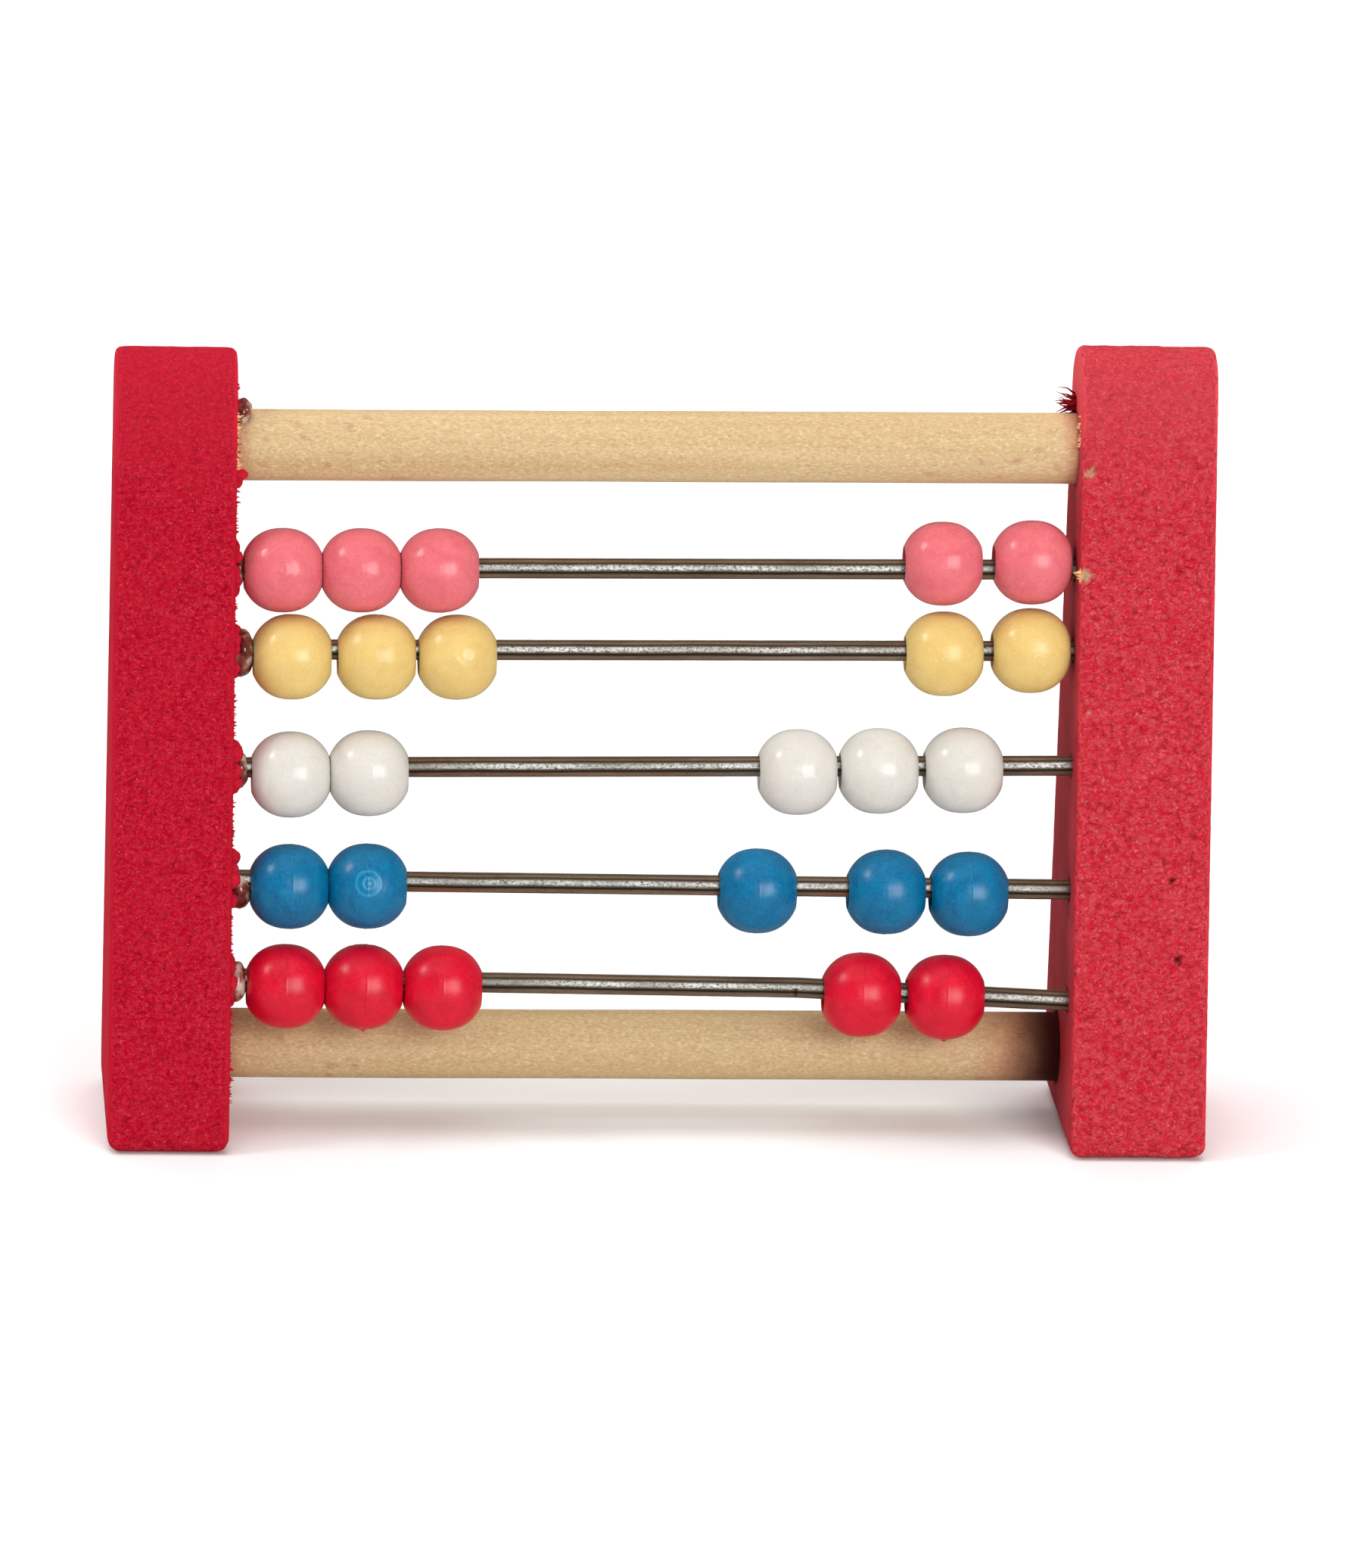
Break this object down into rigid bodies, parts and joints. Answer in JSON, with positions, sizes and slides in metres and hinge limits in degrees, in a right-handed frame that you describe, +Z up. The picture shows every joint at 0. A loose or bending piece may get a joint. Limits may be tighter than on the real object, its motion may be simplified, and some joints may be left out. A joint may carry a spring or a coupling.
{
  "type": "abacus",
  "caption": "Small toy abacus: two red side panels joined by wooden dowels, with rows of round coloured beads that slide on steel wires.",
  "frame": {"origin": "middle of the length and depth of the whole object, on the surface that the side panels stand on", "axes": "+X along the wires towards the right panel, -Y towards the front face, +Z up"},
  "size_m": [0.1284, 0.0316, 0.0915],
  "materials": {
    "red_paint_fine": "satin",
    "red_paint_coarse": "satin",
    "wood": "matte",
    "steel": "satin",
    "glue": "gloss",
    "pink_plastic": "gloss",
    "yellow_plastic": "gloss",
    "white_plastic": "gloss",
    "blue_plastic": "gloss",
    "red_plastic": "gloss"
  },
  "bodies": {
    "frame": {"left_side_panel": "red_paint_fine", "right_side_panel": "red_paint_coarse", "top_dowel": "wood", "bottom_dowel": "wood", "wire_glue": "glue", "dowel_glue": "glue", "wire_1": "steel", "wire_2": "steel", "wire_3": "steel", "wire_4": "steel", "wire_5": "steel"},
    "pink_bead_1": {"pink_bead_1": "pink_plastic"},
    "pink_bead_2": {"pink_bead_2": "pink_plastic"},
    "pink_bead_3": {"pink_bead_3": "pink_plastic"},
    "pink_bead_4": {"pink_bead_4": "pink_plastic"},
    "pink_bead_5": {"pink_bead_5": "pink_plastic"},
    "yellow_bead_1": {"yellow_bead_1": "yellow_plastic"},
    "yellow_bead_2": {"yellow_bead_2": "yellow_plastic"},
    "yellow_bead_3": {"yellow_bead_3": "yellow_plastic"},
    "yellow_bead_4": {"yellow_bead_4": "yellow_plastic"},
    "yellow_bead_5": {"yellow_bead_5": "yellow_plastic"},
    "white_bead_1": {"white_bead_1": "white_plastic"},
    "white_bead_2": {"white_bead_2": "white_plastic"},
    "white_bead_3": {"white_bead_3": "white_plastic"},
    "white_bead_4": {"white_bead_4": "white_plastic"},
    "white_bead_5": {"white_bead_5": "white_plastic"},
    "blue_bead_1": {"blue_bead_1": "blue_plastic"},
    "blue_bead_2": {"blue_bead_2": "blue_plastic"},
    "blue_bead_3": {"blue_bead_3": "blue_plastic"},
    "blue_bead_4": {"blue_bead_4": "blue_plastic"},
    "blue_bead_5": {"blue_bead_5": "blue_plastic"},
    "red_bead_1": {"red_bead_1": "red_plastic"},
    "red_bead_2": {"red_bead_2": "red_plastic"},
    "red_bead_3": {"red_bead_3": "red_plastic"},
    "red_bead_4": {"red_bead_4": "red_plastic"},
    "red_bead_5": {"red_bead_5": "red_plastic"}
  },
  "joints": [
    {"name": "pink_bead_1_slide", "type": "slide", "parent": "frame", "child": "pink_bead_1", "axis": [1, 0.0021, 0.0084], "range_m": [0, 0.01653]},
    {"name": "pink_bead_2_slide", "type": "slide", "parent": "pink_bead_1", "child": "pink_bead_2", "axis": [1, 0.0021, 0.0084], "range_m": [0, 0.01653]},
    {"name": "pink_bead_3_slide", "type": "slide", "parent": "pink_bead_2", "child": "pink_bead_3", "axis": [1, 0.0021, 0.0084], "range_m": [0, 0.01653]},
    {"name": "pink_bead_5_slide", "type": "slide", "parent": "frame", "child": "pink_bead_5", "axis": [1, 0.0021, 0.0084], "range_m": [-0.0248, 0.0003]},
    {"name": "pink_bead_4_slide", "type": "slide", "parent": "pink_bead_5", "child": "pink_bead_4", "axis": [1, 0.0021, 0.0084], "range_m": [-0.0248, 0.0014]},
    {"name": "yellow_bead_1_slide", "type": "slide", "parent": "frame", "child": "yellow_bead_1", "axis": [1, 0.0021, 0.0084], "range_m": [0, 0.0159]},
    {"name": "yellow_bead_2_slide", "type": "slide", "parent": "yellow_bead_1", "child": "yellow_bead_2", "axis": [1, 0.0021, 0.0084], "range_m": [-0.0007, 0.0159]},
    {"name": "yellow_bead_3_slide", "type": "slide", "parent": "yellow_bead_2", "child": "yellow_bead_3", "axis": [1, 0.0021, 0.0084], "range_m": [-0.0003, 0.0159]},
    {"name": "yellow_bead_5_slide", "type": "slide", "parent": "frame", "child": "yellow_bead_5", "axis": [1, 0.0021, 0.0084], "range_m": [-0.02385, 0.0003]},
    {"name": "yellow_bead_4_slide", "type": "slide", "parent": "yellow_bead_5", "child": "yellow_bead_4", "axis": [1, 0.0021, 0.0084], "range_m": [-0.02385, 0.0011]},
    {"name": "white_bead_1_slide", "type": "slide", "parent": "frame", "child": "white_bead_1", "axis": [0.9999, 0.0028, 0.0114], "range_m": [0, 0.02045]},
    {"name": "white_bead_2_slide", "type": "slide", "parent": "white_bead_1", "child": "white_bead_2", "axis": [0.9999, 0.0028, 0.0114], "range_m": [0, 0.02045]},
    {"name": "white_bead_5_slide", "type": "slide", "parent": "frame", "child": "white_bead_5", "axis": [0.9999, 0.0028, 0.0114], "range_m": [-0.01363, 0.008]},
    {"name": "white_bead_4_slide", "type": "slide", "parent": "white_bead_5", "child": "white_bead_4", "axis": [0.9999, 0.0028, 0.0114], "range_m": [-0.01363, 0.0008]},
    {"name": "white_bead_3_slide", "type": "slide", "parent": "white_bead_4", "child": "white_bead_3", "axis": [0.9999, 0.0028, 0.0114], "range_m": [-0.01363, 0.0004]},
    {"name": "blue_bead_1_slide", "type": "slide", "parent": "frame", "child": "blue_bead_1", "axis": [1, -0.0007, -0.003], "range_m": [0, 0.0182]},
    {"name": "blue_bead_2_slide", "type": "slide", "parent": "blue_bead_1", "child": "blue_bead_2", "axis": [1, -0.0007, -0.003], "range_m": [0, 0.0182]},
    {"name": "blue_bead_5_slide", "type": "slide", "parent": "frame", "child": "blue_bead_5", "axis": [1, -0.0007, -0.003], "range_m": [-0.01213, 0.0071]},
    {"name": "blue_bead_4_slide", "type": "slide", "parent": "blue_bead_5", "child": "blue_bead_4", "axis": [1, -0.0007, -0.003], "range_m": [-0.01213, 0.0006]},
    {"name": "blue_bead_3_slide", "type": "slide", "parent": "blue_bead_4", "child": "blue_bead_3", "axis": [1, -0.0007, -0.003], "range_m": [-0.01213, 0.006]},
    {"name": "red_bead_1_slide", "type": "slide", "parent": "frame", "child": "red_bead_1", "axis": [1, -0.002, -0.0081], "range_m": [0, 0.0133]},
    {"name": "red_bead_2_slide", "type": "slide", "parent": "red_bead_1", "child": "red_bead_2", "axis": [1, -0.002, -0.0081], "range_m": [0, 0.0133]},
    {"name": "red_bead_3_slide", "type": "slide", "parent": "red_bead_2", "child": "red_bead_3", "axis": [1, -0.002, -0.0081], "range_m": [-0.0001, 0.0133]},
    {"name": "red_bead_5_slide", "type": "slide", "parent": "frame", "child": "red_bead_5", "axis": [1, -0.002, -0.0081], "range_m": [-0.01995, 0.0097]},
    {"name": "red_bead_4_slide", "type": "slide", "parent": "red_bead_5", "child": "red_bead_4", "axis": [1, -0.002, -0.0081], "range_m": [-0.01995, 0.0007]}
  ]
}
